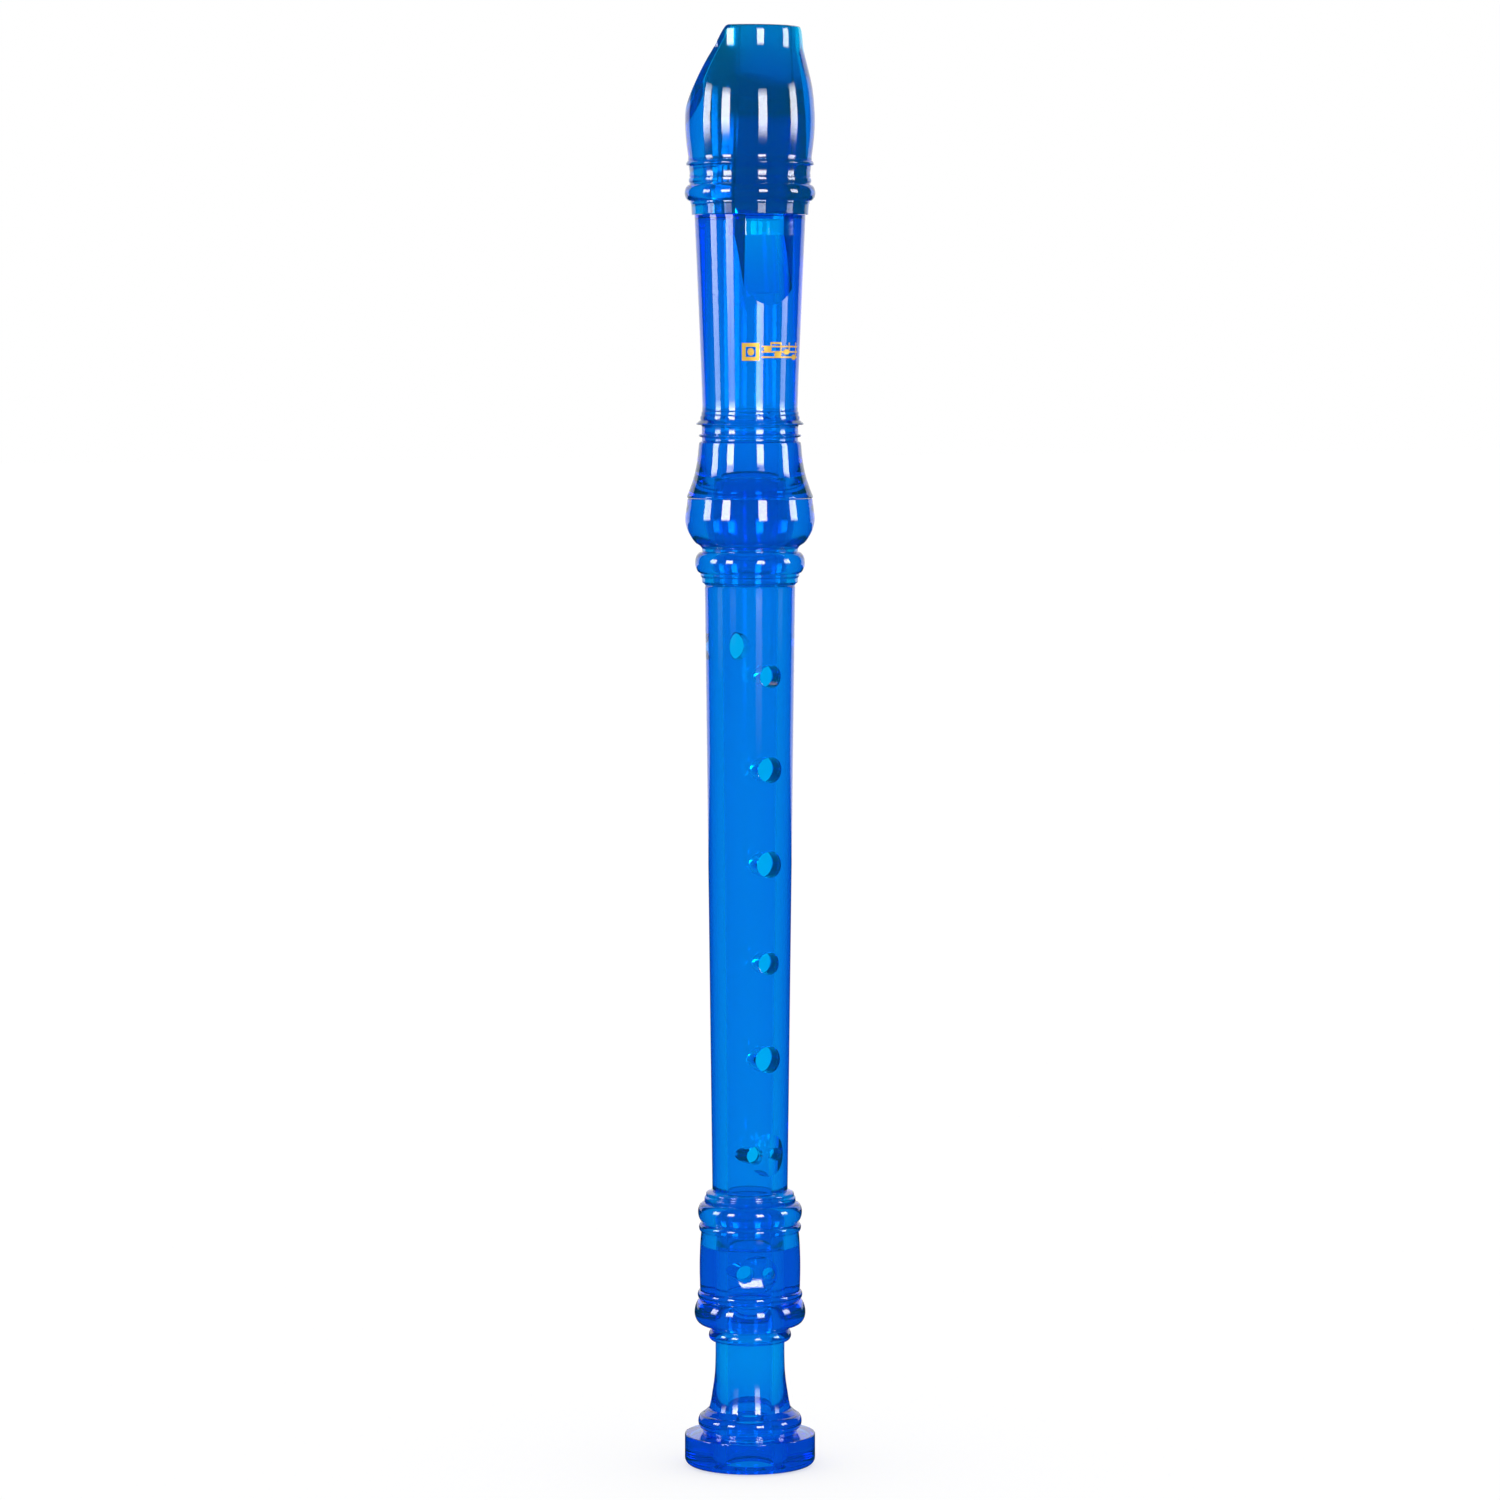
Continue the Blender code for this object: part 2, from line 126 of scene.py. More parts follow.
class Wiring:
    """The node tree of one material, world or light."""

    def __init__(self, owner: bpy.types.ID) -> None:
        """Empties the owner's node tree.

        Args:
            owner: material or world whose nodes are built here.
        """
        owner.use_nodes = True
        self.tree = owner.node_tree
        self.tree.nodes.clear()

    def add(self, kind: str, settings: Mapping[str, object] | None = None,
            inputs: Mapping[str, object] | None = None,
            output: str | None = None) -> "Port | None":
        """Adds a node.

        Args:
            kind: node type without its ShaderNode prefix.
            settings: properties set before the sockets; "stops" holds a ramp's (place, colour).
            inputs: sockets by identifier or name, each a Port to link or a value to set.
            output: identifier or name of the output wanted, the first if left out.

        Returns:
            The wanted output, or nothing from a node without outputs.
        """
        node = self.tree.nodes.new("ShaderNode" + kind)
        for name, value in (settings or {}).items():
            if name == "stops":
                self.set_stops(node.color_ramp, value)
            else:
                setattr(node, name, value)
        for name, value in (inputs or {}).items():
            socket = self.find(node.inputs, name)
            if isinstance(value, Port):
                self.tree.links.new(value.socket, socket)
            else:
                socket.default_value = value
        outputs = node.outputs
        return Port(self, self.find(outputs, output) if output else outputs[0]) if outputs else None

    @staticmethod
    def find(sockets: Sequence[bpy.types.NodeSocket], name: str) -> bpy.types.NodeSocket:
        """Finds a socket.

        Args:
            sockets: inputs or outputs of a node.
            name: its identifier or its name.

        Returns:
            The socket, by identifier where one has it.
        """
        named = [s for s in sockets if s.identifier == name] or [s for s in sockets if s.name == name]
        return named[0]

    @staticmethod
    def set_stops(ramp: bpy.types.ColorRamp, stops: Sequence[tuple[float, Sequence[float]]]) -> None:
        """Gives a colour ramp its stops.

        Args:
            ramp: ramp with Blender's two first stops.
            stops: place and colour of each stop.
        """
        while len(ramp.elements) < len(stops):
            ramp.elements.new(1.0)
        for element, (place, colour) in zip(ramp.elements, stops):
            element.position = place
            element.color = colour

    def maths(self, operation: str, first: "Port | float", second: "Port | float") -> Port:
        """Adds a Math node of two values and returns its result."""
        return self.add("Math", {"operation": operation}, {"Value": first, "Value_001": second})

    def blend(self, share: Port, first: Sequence[float], second: Sequence[float]) -> Port:
        """Mixes two colours.

        Args:
            share: how much of the second shows.
            first: colour where share is 0.
            second: colour where share is 1.

        Returns:
            The mixed colour.
        """
        return self.add("Mix", {"data_type": 'RGBA'},
                        {"Factor_Float": share, "A_Color": (*first, 1.0), "B_Color": (*second, 1.0)},
                        "Result_Color")

    def place(self, scale: Triple) -> Port:
        """Object coordinates in metres, stretched by scale."""
        spot = self.add("TexCoord", output="Object")
        return self.add("Mapping", {"vector_type": 'POINT'}, {"Vector": spot, "Scale": scale})

    def noise(self, scale: Triple, size: float, detail: float) -> Port:
        """Cloudy pattern.

        Args:
            scale: stretch of the pattern along each axis.
            size: patches to the metre.
            detail: octaves.

        Returns:
            Its value, 0 to 1 about a half.
        """
        return self.add("TexNoise", {"noise_dimensions": '3D'},
                        {"Vector": self.place(scale), "Scale": size, "Detail": detail})


# ------------------------------------------------------------------ finishes

@dataclass(frozen=True)
class ClearPlastic:
    """Clear moulded plastic, coloured through and through.

    Attributes:
        name: name of the material.
        tint: colour of its skin.
        absorbed: share of red, green and blue taken out of light, to the metre.
        clarity: share of light that passes the skin unscattered.
        polish: roughness of the clean surface.
        haze: roughness that handling adds in patches.
        flow: strength of the shallow waves left by the flow in the mould.
    """

    name: str
    tint: Triple = (0.02, 0.73, 0.98)
    absorbed: Triple = (1500.0, 132.0, 20.0)
    clarity: float = 0.94
    polish: float = 0.025
    haze: float = 0.04
    flow: float = 0.015

    def material(self) -> bpy.types.Material:
        """Builds the material.

        Returns:
            The material, which also fills the solid that it covers.
        """
        made = bpy.data.materials.new(self.name)
        wiring = Wiring(made)
        streaks = wiring.noise((1.0, 1.0, 0.12), 240.0, 3.0)
        patches = wiring.noise((1.0, 1.0, 1.0), 55.0, 2.0)
        scuffs = wiring.noise((1.0, 1.0, 0.3), 2600.0, 2.0)
        wear = (patches ** 3.0) * 2.2
        deeper = tuple(c * s for c, s in zip(self.tint, (0.6, 0.95, 0.99)))
        waves = wiring.add("Bump", None, {"Strength": self.flow, "Distance": 0.0006,
                                          "Height": streaks})
        grain = wiring.add("Bump", None, {"Strength": 0.03, "Distance": 0.00005,
                                          "Height": scuffs, "Normal": waves})
        skin = wiring.add("BsdfPrincipled", None, {
            "Base Color": wiring.blend(streaks, self.tint, deeper),
            "Roughness": self.polish + self.haze * wear * scuffs,
            "IOR": 1.53,
            "Transmission Weight": self.clarity,
            "Normal": grain})
        depth = max(self.absorbed)
        inside = wiring.add("VolumeAbsorption", None, {
            "Color": (*(1.0 - a / depth for a in self.absorbed), 1.0), "Density": depth})
        wiring.add("OutputMaterial", None, {"Surface": skin, "Volume": inside})
        return made


@dataclass(frozen=True)
class GoldFoil:
    """Hot-stamped gold foil, rubbed a little thin.

    Attributes:
        name: name of the material.
        bright: colour of fresh foil.
        rubbed: colour where fingers have rubbed it.
    """

    name: str
    bright: Triple = (1.0, 0.66, 0.08)
    rubbed: Triple = (0.72, 0.38, 0.03)

    def material(self) -> bpy.types.Material:
        """Builds the material.

        Returns:
            The material.
        """
        made = bpy.data.materials.new(self.name)
        wiring = Wiring(made)
        wear = wiring.noise((1.0, 1.0, 1.0), 900.0, 4.0)
        crinkle = wiring.noise((1.0, 1.0, 1.0), 4200.0, 2.0)
        skin = wiring.add("BsdfPrincipled", None, {
            "Base Color": wiring.blend(wear, self.bright, self.rubbed),
            "Metallic": 0.4 - 0.3 * wear,
            "Roughness": 0.22 + 0.3 * wear,
            "Normal": wiring.add("Bump", None, {"Strength": 0.25, "Distance": 0.00003,
                                                "Height": crinkle})})
        wiring.add("OutputMaterial", None, {"Surface": skin})
        return made


# ------------------------------------------------------------------ outlines

class Outline:
    """A line of (radius, height) points, drawn from one point to the next."""

    def __init__(self) -> None:
        """Starts with no points."""
        self.points: list[Point] = []

    def to(self, *points: Point) -> "Outline":
        """Goes straight through the points."""
        self.points.extend(points)
        return self

    def curve(self, *points: Point, spans: int = 5) -> "Outline":
        """Goes along a smooth curve.

        Args:
            points: what the curve passes through.
            spans: straight spans between two of them.

        Returns:
            This outline.
        """
        ends = [points[0], *points, points[-1]]
        for a, b, c, d in zip(ends, ends[1:], ends[2:], ends[3:]):
            for t in (span / spans for span in range(spans)):
                self.points.append(tuple(
                    0.5 * (2 * q + (r - p) * t + (2 * p - 5 * q + 4 * r - s) * t * t
                           + (3 * q - p - 3 * r + s) * t ** 3)
                    for p, q, r, s in zip(a, b, c, d)))
        self.points.append(points[-1])
        return self

    def bead(self, top: float, bottom: float, root: float, crest: float,
             root_end: float | None = None, spans: int = 12) -> "Outline":
        """Goes round a half-round ring, downwards.

        Args:
            top: height where it starts.
            bottom: height where it ends.
            root: radius where it starts.
            crest: radius it reaches.
            root_end: radius where it ends, the same as root if left out.
            spans: straight spans round it.

        Returns:
            This outline.
        """
        root_end = root if root_end is None else root_end
        middle, half = (top + bottom) / 2, (top - bottom) / 2
        for span in range(spans + 1):
            turn = math.pi * span / spans
            foot = root + (root_end - root) * span / spans
            self.points.append((foot + (crest - foot) * math.sin(turn),
                                middle + half * math.cos(turn)))
        return self

    def arc(self, centre: Point, radius: float, start: float, end: float,
            spans: int = 10) -> "Outline":
        """Goes round a circle.

        Args:
            centre: its centre.
            radius: its radius.
            start: angle it starts at, from the +radius direction.
            end: angle it ends at.
            spans: straight spans along it.

        Returns:
            This outline.
        """
        for span in range(spans + 1):
            turn = math.radians(start + (end - start) * span / spans)
            self.points.append((centre[0] + radius * math.cos(turn),
                                centre[1] + radius * math.sin(turn)))
        return self

    def eased(self, radius: float) -> list[Point]:
        """Rounds each corner off, as a mould does.

        Args:
            radius: how far from a corner the rounding starts.

        Returns:
            The points of the eased outline.
        """
        eased: list[Point] = [self.points[0]]
        for before, corner, after in zip(self.points, self.points[1:], self.points[2:]):
            into, out = Vector(corner) - Vector(before), Vector(after) - Vector(corner)
            if min(into.length, out.length) < 1e-6 or into.angle(out) < CORNER:
                eased.append(corner)
                continue
            reach = min(radius, 0.4 * into.length, 0.4 * out.length)
            start = Vector(corner) - into.normalized() * reach
            end = Vector(corner) + out.normalized() * reach
            for t in (step / 8 for step in range(9)):
                eased.append(tuple(start * (1 - t) ** 2 + 2 * Vector(corner) * t * (1 - t)
                                   + end * t * t))
        return eased + [self.points[-1]]


# ------------------------------------------------------------------ solids

class Solid:
    """A closed mesh on the bench: a piece being made, or a tool that cuts one."""

    def __init__(self, name: str, shape: bmesh.types.BMesh) -> None:
        """Makes the object from a mesh in metres, with its faces turned outwards.

        Args:
            name: name of the object.
            shape: closed mesh, freed here.
        """
        bmesh.ops.remove_doubles(shape, verts=shape.verts, dist=1e-7)
        bmesh.ops.recalc_face_normals(shape, faces=shape.faces)
        mesh = bpy.data.meshes.new(name)
        shape.to_mesh(mesh)
        shape.free()
        self.object = bpy.data.objects.new(name, mesh)
        bpy.context.scene.collection.objects.link(self.object)

    @classmethod
    def turned(cls, name: str, outline: Sequence[Point], facets: int = FACETS) -> "Solid":
        """Turns an outline round the bore's axis.

        Args:
            name: name of the solid.
            outline: its points; one that starts on the axis also ends on it, another closes.
            facets: faces round it.

        Returns:
            The solid.
        """
        shape = bmesh.new()
        rings: list[list[bmesh.types.BMVert]] = []
        for radius, height in outline:
            count = 1 if radius < 1e-6 else facets
            rings.append([shape.verts.new((
                radius * MM * math.sin(2 * math.pi * i / facets),
                -radius * MM * math.cos(2 * math.pi * i / facets), height * MM))
                for i in range(count)])
        pairs = list(zip(rings, rings[1:]))
        if len(rings[0]) > 1:
            pairs.append((rings[-1], rings[0]))
        for upper, lower in pairs:
            skin_between(shape, upper, lower)
        return cls(name, shape)

    @classmethod
    def stack(cls, name: str, rings: Sequence[Sequence[Triple]]) -> "Solid":
        """Skins rings of equal count one after another and caps both ends.

        Args:
            name: name of the solid.
            rings: points of each ring, in order round it.

        Returns:
            The solid.
        """
        shape = bmesh.new()
        made = [[shape.verts.new([c * MM for c in point]) for point in ring] for ring in rings]
        for upper, lower in zip(made, made[1:]):
            skin_between(shape, upper, lower)
        shape.faces.new(made[0])
        shape.faces.new(made[-1])
        return cls(name, shape)

    @classmethod
    def side_cut(cls, name: str, outline: Sequence[Point], half_width: float) -> "Solid":
        """Prism across the recorder.

        Args:
            name: name of the solid.
            outline: its (depth, height) corners; a depth is measured from the axis to the front.
            half_width: how far it runs to each side.

        Returns:
            The solid.
        """
        return cls.stack(name, [[(side * half_width, -depth, height) for depth, height in outline]
                                for side in (-1, 1)])

    def shaped(self, tools: Sequence["Solid"], operation: str = 'DIFFERENCE') -> "Solid":
        """Cuts or joins tools, which are used up.

        Args:
            tools: solids to cut away or to join on.
            operation: boolean operation.

        Returns:
            This solid.
        """
        for tool in tools:
            step = self.object.modifiers.new(operation.lower(), 'BOOLEAN')
            step.operation = operation
            step.solver = 'EXACT'
            step.object = tool.object
        graph = bpy.context.evaluated_depsgraph_get()
        mesh = bpy.data.meshes.new_from_object(self.object.evaluated_get(graph))
        self.object.modifiers.clear()
        self.object.data = mesh
        for tool in tools:
            bpy.data.objects.remove(tool.object, do_unlink=True)
        return self

    def finish(self, material: bpy.types.Material, body: Body, slot: Slot | None = None,
               node: str | None = None, turn: float = 0.0) -> bpy.types.Object:
        """Makes the solid a piece of the recorder.

        Args:
            material: what it is made of.
            body: CAD body it rides on.
            slot: material slot of the record for the piece; not used.
            node: CAD node it stands for, if any.
            turn: degrees it is turned about the bore's axis.

        Returns:
            The finished object.
        """
        mesh = self.object.data
        mesh.transform(Matrix.Rotation(math.radians(turn), 4, 'Z'))
        shape = bmesh.new()
        shape.from_mesh(mesh)
        bmesh.ops.remove_doubles(shape, verts=shape.verts, dist=WELD)
        bmesh.ops.dissolve_degenerate(shape, edges=shape.edges, dist=WELD)
        for edge in shape.edges:
            flat = any(len(face.verts) > MANY_SIDED for face in edge.link_faces)
            edge.smooth = edge.calc_face_angle(math.pi) < (CREASE / 4 if flat else CREASE)
        for face in shape.faces:
            face.smooth = True
        shape.to_mesh(mesh)
        shape.free()
        mesh.materials.clear()
        mesh.materials.append(material)
        normals = self.object.modifiers.new("even_shading", 'WEIGHTED_NORMAL')
        normals.keep_sharp = True
        normals.weight = 50
        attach(self.object, body.value)
        if node is not None:
            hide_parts(node)
        LOG.info("%s: %d faces, on %s", self.object.name, len(mesh.polygons), body.value)
        return self.object


def skin_between(shape: bmesh.types.BMesh, upper: Sequence[bmesh.types.BMVert],
                 lower: Sequence[bmesh.types.BMVert]) -> None:
    """Fills between two rings, either of which may be one point.

    Args:
        shape: mesh that holds them.
        upper: first ring.
        lower: second ring.
    """
    count = max(len(upper), len(lower))
    if count == 1:
        return
    for i in range(count):
        j = (i + 1) % count
        corners = [upper[i % len(upper)], upper[j % len(upper)],
                   lower[j % len(lower)], lower[i % len(lower)]]
        shape.faces.new(list(dict.fromkeys(corners)))


def pierced(name: str, across: float, height: float, radius: float, rim: float,
            outside: Surface, facing: int = 1) -> Solid:
    """Tool for a round hole whose rim is eased evenly along the curved surface it opens in.

    Args:
        name: name of the tool.
        across: how far the hole stands to the right of the middle.
        height: height of its centre.
        radius: its radius.
        rim: radius of its eased rim.
        outside: distance of the surface in front of the axis, at a place across and a height.
        facing: 1 for a hole in the front and -1 for one in the back.

    Returns:
        The tool.
    """
    def ring(wide: float, depth: Surface) -> list[Triple]:
        """Points round the tool.

        Args:
            wide: radius of the ring.
            depth: how far in front of the axis each point stands.

        Returns:
            The points.
        """
        spots = []
        for i in range(HOLE_FACETS):
            turn = 2 * math.pi * (i + 0.37) / HOLE_FACETS
            x, z = across + wide * math.cos(turn), height + wide * math.sin(turn)
            spots.append((x, -facing * depth(x, z), z))
        return spots

    rings = [ring(radius, lambda x, z: 0.3)]
    for turn in (math.radians(a) for a in (0, 18, 36, 54, 72)):
        sunk = rim * (1 - math.sin(turn))
        rings.append(ring(radius + rim * (1 - math.cos(turn)),
                          lambda x, z, sunk=sunk: outside(x, z) - sunk))
    rings.append(ring(radius + rim * 0.75, lambda x, z: 15.0))
    return Solid.stack(name, rings)


def dished(name: str, height: float, floor: float, sweep: float, spread: Point) -> Solid:
    """Tool for the hollow that a fingertip rests in: a trough across the recorder.

    Args:
        name: name of the tool.
        height: height of its centre.
        floor: depth of its middle.
        sweep: radius of the arc that it follows up and down.
        spread: half the tool's width and half its height, past the trough's own edge.

    Returns:
        The tool.
    """
    facets = 2 * HOLE_FACETS
    steps = 14

    def ring(share: float) -> list[Triple]:
        """Points of the trough's surface.

        Args:
            share: size of the ring, 1 at the tool's edge.

        Returns:
            The points.
        """
        spots = []
        for i in range(facets):
            turn = 2 * math.pi * (i + 0.37) / facets
            x, up = spread[0] * share * math.cos(turn), spread[1] * share * math.sin(turn)
            depth = floor + sweep - math.sqrt(sweep ** 2 - up ** 2) + x ** 2 / 80.0
            spots.append((x, -depth, height + up))
        return spots

    rings = [ring(step / steps) for step in (0.5, *range(1, steps + 1))]
    return Solid.stack(name, [*rings, [(x, -PAST_FRONT, z) for x, _, z in rings[-1]]])


def cone_front(top: Point, bottom: Point) -> Surface:
    """The front of a straight taper.

    Args:
        top: (radius, height) of a point on it.
        bottom: (radius, height) of another.

    Returns:
        A function of the place across and the height.
    """
    slope = (top[0] - bottom[0]) / (top[1] - bottom[1])

    def front(x: float, z: float) -> float:
        """Distance of the taper in front of the axis."""
        return math.sqrt((bottom[0] + slope * (z - bottom[1])) ** 2 - x ** 2)

    return front


# ------------------------------------------------------------------ head joint

@dataclass
class Windway:
    """The air channel between the mouthpiece's roof and the block, and what it opens into.

    Attributes:
        top: height where the window starts.
        labium: height of the blowing edge.
        edge_depth: depth of the blowing edge.
        ramp_foot: depth and height where the ramp runs out.
        half_window: half the window's width.
        roof: depth of the channel's roof at the window.
        channel: height of the channel.
        half_channel: half its width.
        rise: degrees it climbs towards the beak.
        arch: radius of its arch.
    """

    top: float = 287.5
    labium: float = 282.9
    edge_depth: float = 5.8
    ramp_foot: Point = (11.8, 266.8)
    half_window: float = 5.9
    roof: float = 6.8
    channel: float = 1.35
    half_channel: float = 5.75
    rise: float = 3.6
    arch: float = 22.0

    def tool(self, name: str, half_width: float, crown: float, depth: float,
             bottom: float) -> Solid:
        """Arched prism that follows the channel's slope.

        Args:
            name: name of the tool.
            half_width: how far it runs to each side.
            crown: how far it reaches in front of its arched face.
            depth: depth of its arched face at the window.
            bottom: height it starts at.

        Returns:
            The tool.
        """
        spans = 24
        rings = []
        for height in (bottom, PAST_BEAK):
            lean = depth + (height - self.top) * math.tan(math.radians(self.rise))
            plan = []
            for span in range(spans + 1):
                x = half_width * (1 - 2 * span / spans)
                sag = self.arch - math.sqrt(self.arch ** 2 - x * x)
                plan.append((x, -(lean - sag), height))
            rings.append(plan + [(-half_width, -(lean + crown), height),
                                 (half_width, -(lean + crown), height)])
        return Solid.stack(name, rings)

    def beak(self) -> Solid:
        """Tool for the slanting underside of the beak.

        Returns:
            The tool, straight at the tip and then hollow, where the lower lip rests.
        """
        slope, radius, bend = 26.6, 17.9, (1.85, 318.5)
        centre = (bend[0] - radius * math.cos(math.radians(slope)),
                  bend[1] + radius * math.sin(math.radians(slope)))
        line = Outline().to((bend[0] + (PAST_BEAK - bend[1]) * math.tan(math.radians(slope)),
                             PAST_BEAK))
        line.arc(centre, radius, -slope, -90, 20)
        low = line.points[-1][1]
        return Solid.side_cut("beak_cut", line.to((-20.0, low), (-20.0, PAST_BEAK)).points,
                              18.0)

    def window(self, bore_end: float, wall: float) -> Solid:
        """Tool for the window, its ramp and the throat below the channel.

        Args:
            bore_end: height of the wall that ends the bore.
            wall: depth of that wall's front edge.

        Returns:
            The tool.
        """
        foot_depth, foot = self.ramp_foot
        slope = (foot_depth - self.edge_depth) / (self.labium - foot)
        return Solid.side_cut("window", [
            (0.0, bore_end), (wall, bore_end), (wall, self.top + 1),
            (PAST_FRONT, self.top + 1),
            (PAST_FRONT, self.labium - (PAST_FRONT - self.edge_depth) / slope),
            (self.edge_depth, self.labium), (0.0, self.labium)], self.half_window)


@dataclass
class HeadJoint:
    """Mouthpiece, windway block, head tube and socket ring, which are glued together.

    Attributes:
        top: height of the beak's tip.
        lip: height of the skirt's lower edge.
        foot: height of the joint's lower end.
        spigot: inner and outer radius of the spigot inside the mouthpiece.
        spigot_top: height of its end.
        cap_bore: radius of the mouthpiece's hollow above the spigot.
        sleeve: radius of the sleeve inside the socket ring.
        socket: radius of the socket for the body joint's tenon.
        socket_end: height of the socket's end.
        bore: radius of the bore.
        bore_end: height of the wall that ends the bore.
        wall: thickness of that wall.
        wall_depth: depth of its front edge.
        cap_easing: how far from a corner of the mouthpiece its rounding starts.
        easing: how far from a corner of the other mouldings it starts.
    """

    top: float = 330.0
    lip: float = 223.35
    foot: float = 203.2
    spigot: Point = (9.2, 10.8)
    spigot_top: float = 299.3
    cap_bore: float = 10.6
    sleeve: float = 10.1
    socket: float = 8.5
    socket_end: float = 227.35
    bore: float = 6.75
    bore_end: float = 286.5
    wall: float = 1.4
    wall_depth: float = 5.35
    cap_easing: float = 0.16
    easing: float = 0.14

    def build(self, plastic: bpy.types.Material, block: bpy.types.Material) -> None:
        """Makes the four mouldings.

        Args:
            plastic: material of the outer mouldings.
            block: material of the block.
        """
        windway = Windway()
        self.mouthpiece(windway).finish(plastic, Body.HEAD, Slot.CLEAR, "mouthpiece", HEAD_TURN)
        self.block(windway).finish(block, Body.HEAD, Slot.BLOCK, "windway_block", HEAD_TURN)
        self.tube(windway).finish(plastic, Body.HEAD, Slot.CLEAR, "head_tube", HEAD_TURN)
        self.ring().finish(plastic, Body.HEAD, Slot.CLEAR, "socket_ring", HEAD_TURN)

    def mouthpiece(self, windway: Windway) -> Solid:
        """Cap with the beak, its rings and the windway's roof.

        Args:
            windway: the air channel.

        Returns:
            The solid.
        """
        line = (Outline().to((0.0, self.top), (11.45, self.top))
                .curve((11.8, 329.75), (11.96, 328.8), (12.15, 325.3), (12.75, 322.6),
                       (13.45, 319.8), (14.06, 317.1), (14.45, 314.4), (14.66, 311.7),
                       (14.79, 309.3), (14.70, 306.3), (14.46, 303.6), (14.14, 301.2),
                       (14.07, 300.7), (14.09, 300.3), (14.15, 299.9), spans=4)
                .to((13.92, 299.84), (13.92, 299.72), (14.3, 299.68), (14.36, 299.4))
                .curve((14.5, 299.3), (14.56, 299.0), (14.45, 298.75), (14.05, 298.6), spans=3)
                .curve((13.93, 298.45), (13.78, 297.3), (13.77, 296.7), (13.84, 296.05), spans=4)
                .to((13.6, 296.0), (13.6, 295.84), (13.93, 295.8), (13.99, 295.2))
                .curve((13.94, 294.95), (13.8, 294.75), (13.74, 294.5), spans=3)
                .bead(294.35, 290.6, 13.70, 14.92, 13.62)
                .to((13.62, 290.25), (13.42, 289.85), (13.26, windway.top), (0.0, windway.top)))
        cap = Solid.turned("mouthpiece_cap", line.eased(self.cap_easing))
        return cap.shaped([windway.beak()]).shaped([self.hollow(windway)]).shaped(
            [self.exit_bevel(windway)])

    def hollow(self, windway: Windway) -> Solid:
        """Tool for the space inside the mouthpiece, below the windway's roof.

        Args:
            windway: the air channel.

        Returns:
            The tool.
        """
        wide = self.spigot[1] + SEAM
        line = [(0.0, self.top + 2), (self.cap_bore, self.top + 2),
                (self.cap_bore, self.spigot_top + SEAM), (wide, self.spigot_top + SEAM),
                (wide, windway.top - 2), (0.0, windway.top - 2)]
        tool = Solid.turned("cap_hollow", line)
        return tool.shaped([windway.tool("above_roof", PAST_SIDES, PAST_FRONT, windway.roof,
                                         windway.top - 3)])

    def exit_bevel(self, windway: Windway) -> Solid:
        """Tool for the bevel where the windway opens into the window.

        Args:
            windway: the air channel.

        Returns:
            The tool.
        """
        roof, top = windway.roof, windway.top
        return Solid.side_cut("exit_bevel", [(roof - 1, top - 0.5), (roof + 1.2, top - 0.5),
                                             (roof - 1, top + 1.7)], windway.half_channel)

    def block(self, windway: Windway) -> Solid:
        """Block whose front face is the windway's floor.

        Args:
            windway: the air channel.

        Returns:
            The solid.
        """
        seat = self.bore_end + self.wall + SEAM
        low, high = self.spigot[0] - SEAM, self.cap_bore - SEAM
        solid = Solid.turned("block", [
            (0.0, self.top), (high, self.top), (high, self.spigot_top + SEAM),
            (low, self.spigot_top + SEAM), (low, seat), (0.0, seat)])
        solid.shaped([windway.tool("above_lands", PAST_SIDES, PAST_FRONT, windway.roof - SEAM,
                                   windway.top - 3)])
        solid.shaped([windway.tool("channel", windway.half_channel, 3.0,
                                   windway.roof - windway.channel, windway.top - 3)])
        return solid.shaped([windway.beak()])

    def tube(self, windway: Windway) -> Solid:
        """Tube with the window, the blowing edge and the skirt over the socket ring.

        Args:
            windway: the air channel, whose window is cut here.

        Returns:
            The solid.
        """
        inner, outer = self.spigot
        line = (Outline().to((0.0, self.bore_end + self.wall),
                             (inner, self.bore_end + self.wall), (inner, self.spigot_top),
                             (outer, self.spigot_top), (outer, windway.top - SEAM),
                             (12.66, windway.top - SEAM))
                .curve((12.40, 281.8), (12.05, 273.9), (11.57, 262.5), (11.12, 251.2),
                       (10.88, 243.9), spans=3)
                .to((10.97, 243.1), (10.8, 243.05), (10.8, 242.95), (11.06, 242.9), (11.16, 242.2),
                    (11.0, 242.14), (11.0, 242.02), (11.28, 241.97), (11.41, 241.1),
                    (11.25, 241.02), (11.25, 240.92), (11.5, 240.85))
                .curve((11.62, 240.7), (11.9, 240.45), (12.32, 240.1), spans=4)
                .to((12.26, 239.9), (11.3, 239.75))
                .curve((11.06, 239.5), (11.02, 238.7), (11.06, 237.9), spans=4)
                .bead(237.75, 237.0, 11.05, 11.72, 11.02, spans=10)
                .to((11.0, 236.7), (11.0, 236.15), (11.6, 235.85))
                .curve((11.72, 235.2), (11.79, 234.4), (11.95, 232.7), (12.13, 231.3),
                       (12.38, 230.0), (12.68, 228.6), (13.08, 227.2), (13.53, 225.9),
                       (14.04, 224.5), (14.33, 223.8), (14.46, self.lip), spans=4)
                .to((14.3, 223.2), (self.sleeve, 223.2), (self.sleeve, 213.0), (self.socket, 213.0),
                    (self.socket, self.socket_end), (self.bore, self.socket_end),
                    (self.bore, self.bore_end), (0.0, self.bore_end)))
        tube = Solid.turned("tube", line.eased(self.easing))
        platform = Solid.side_cut("blowing_edge", [
            (7.6, 269.0), (7.6, windway.labium + 0.4), (5.4, windway.labium + 0.4),
            (5.4, 269.0)], 6.4)
        tube.shaped([platform], 'UNION')
